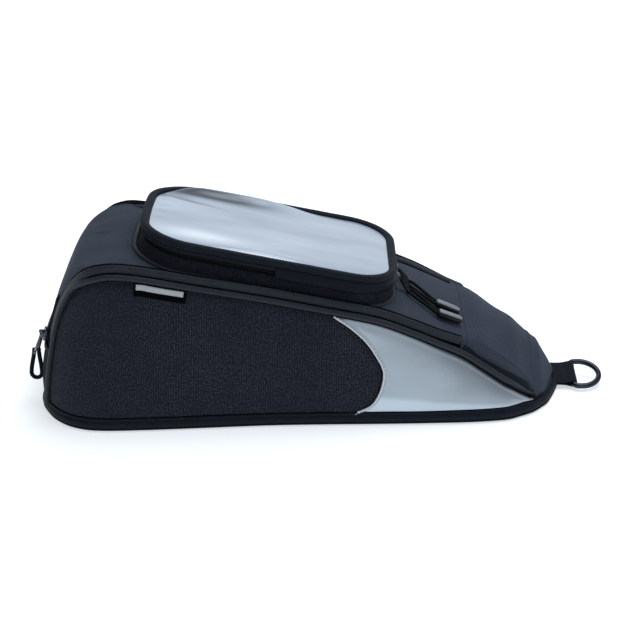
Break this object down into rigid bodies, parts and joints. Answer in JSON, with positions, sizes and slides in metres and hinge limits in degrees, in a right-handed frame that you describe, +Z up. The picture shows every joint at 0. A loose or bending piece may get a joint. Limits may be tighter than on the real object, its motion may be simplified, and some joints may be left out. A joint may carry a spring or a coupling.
{
  "type": "motorcycle tank bag",
  "caption": "Wedge-shaped soft tank bag with piped side panels, zipped clamshell lid, clear-window map pocket, cord zip pulls and a nose ring",
  "frame": {"origin": "centre of the bounding box of everything but the cord pulls, on the underside of the base", "axes": "+X towards the nose and its ring, -Y to the right-hand side that carries the label, +Z up"},
  "size_m": [0.5408, 0.2004, 0.1802],
  "materials": {
    "ribbed_nylon": "vertical fine rib, matt",
    "black_polyester": "plain weave, matt",
    "panel_polyester": "fine weave, slight sheen",
    "silver_vinyl": "coated vinyl sheet, soft gloss",
    "binding_tape": "woven tape, satin",
    "grip_base": "pebbled anti-slip sheet",
    "board": "semi-rigid board",
    "foam": "closed-cell foam",
    "magnet": "nickel plated disc",
    "zip_tape": "woven tape with coil teeth",
    "clear_vinyl": "clear flexible sheet, glossy",
    "slider_metal": "gunmetal",
    "pull_metal": "gunmetal, bright edges",
    "pull_cord": "braided cord",
    "grey_rubber": "moulded, satin",
    "webbing": "flat woven webbing",
    "ring_metal": "black nickel, glossy",
    "label_cloth": "woven label, no lettering"
  },
  "bodies": {
    "bag": {"base_panel": "grip_base", "base_stiffener": "board", "base_magnets": "magnet", "base_binding": "binding_tape", "side_panel_right": "ribbed_nylon", "side_panel_left": "ribbed_nylon", "silver_panel_right": "silver_vinyl", "silver_panel_left": "silver_vinyl", "side_foam_right": "foam", "side_foam_left": "foam", "piping_right": "binding_tape", "piping_left": "binding_tape", "rear_panel": "black_polyester", "rear_stiffener": "board", "nose_cap": "panel_polyester", "nose_webbing": "webbing", "side_label": "label_cloth", "zip_tape_lower": "zip_tape"},
    "lid": {"top_panel": "panel_polyester", "top_foam": "foam", "lid_rear": "black_polyester", "zip_flap_right": "binding_tape", "zip_flap_left": "binding_tape", "zip_tape_upper": "zip_tape", "pocket_gusset": "black_polyester", "pocket_zip_lower": "zip_tape"},
    "pocket_lid": {"pocket_rim": "binding_tape", "clear_window": "clear_vinyl", "pocket_wall": "black_polyester", "pocket_zip_upper": "zip_tape"},
    "side_slider": {"main_slider_side": "slider_metal"},
    "side_pull": {"main_pull_side": "pull_metal"},
    "rear_slider": {"main_slider_rear": "slider_metal"},
    "rear_pull": {"main_pull_rear": "pull_metal", "main_cord_rear": "pull_cord"},
    "pocket_far_slider": {"pocket_slider_far": "slider_metal"},
    "pocket_far_pull": {"pocket_pull_far": "pull_metal", "pocket_cord_far": "pull_cord", "pocket_tip_far": "grey_rubber"},
    "pocket_near_slider": {"pocket_slider_near": "slider_metal"},
    "pocket_near_pull": {"pocket_pull_near": "pull_metal", "pocket_cord_near": "pull_cord", "pocket_tip_near": "grey_rubber"},
    "nose_ring": {"d_ring": "ring_metal"}
  },
  "joints": [
    {"name": "lid_hinge", "type": "hinge", "parent": "bag", "child": "lid", "pos_m": [0.12759, 0, 0.0865], "axis": [0, 1, 0], "range_deg": [0, 70]},
    {"name": "pocket_hinge", "type": "hinge", "parent": "lid", "child": "pocket_lid", "pos_m": [-0.16429, 0, 0.16565], "axis": [0, -1, 0], "range_deg": [0, 110]},
    {"name": "side_slider_travel", "type": "slide", "parent": "lid", "child": "side_slider", "axis": [0.2933, 0.0187, 0.9559], "range_m": [0, 0.036]},
    {"name": "side_pull_hinge", "type": "hinge", "parent": "side_slider", "child": "side_pull", "pos_m": [-0.25594, -0.05266, 0.07614], "axis": [0.2775, -0.9584, -0.0664], "range_deg": [-110, 0]},
    {"name": "rear_slider_travel", "type": "slide", "parent": "lid", "child": "rear_slider", "axis": [0, 1, 0], "range_m": [0, 0.064]},
    {"name": "rear_pull_hinge", "type": "hinge", "parent": "rear_slider", "child": "rear_pull", "pos_m": [-0.25869, -0.03308, 0.06665], "axis": [0, 1, 0], "range_deg": [0, 110]},
    {"name": "pocket_far_travel", "type": "slide", "parent": "pocket_lid", "child": "pocket_far_slider", "axis": [0, 1, 0], "range_m": [0, 0.023]},
    {"name": "pocket_far_pull_hinge", "type": "hinge", "parent": "pocket_far_slider", "child": "pocket_far_pull", "pos_m": [0.06864, 0.002, 0.11878], "axis": [-0.0545, 0.9613, -0.2702], "range_deg": [-60, 0]},
    {"name": "pocket_near_travel", "type": "slide", "parent": "pocket_lid", "child": "pocket_near_slider", "axis": [0, 1, 0], "range_m": [-0.007, 0]},
    {"name": "pocket_near_pull_hinge", "type": "hinge", "parent": "pocket_near_slider", "child": "pocket_near_pull", "pos_m": [0.06864, -0.018, 0.11878], "axis": [-0.0545, 0.9613, -0.2702], "range_deg": [-60, 0]},
    {"name": "ring_hinge", "type": "hinge", "parent": "bag", "child": "nose_ring", "pos_m": [0.23809, 0, 0.0086], "axis": [0, -0.9703, -0.2419], "range_deg": [0, 100]}
  ]
}
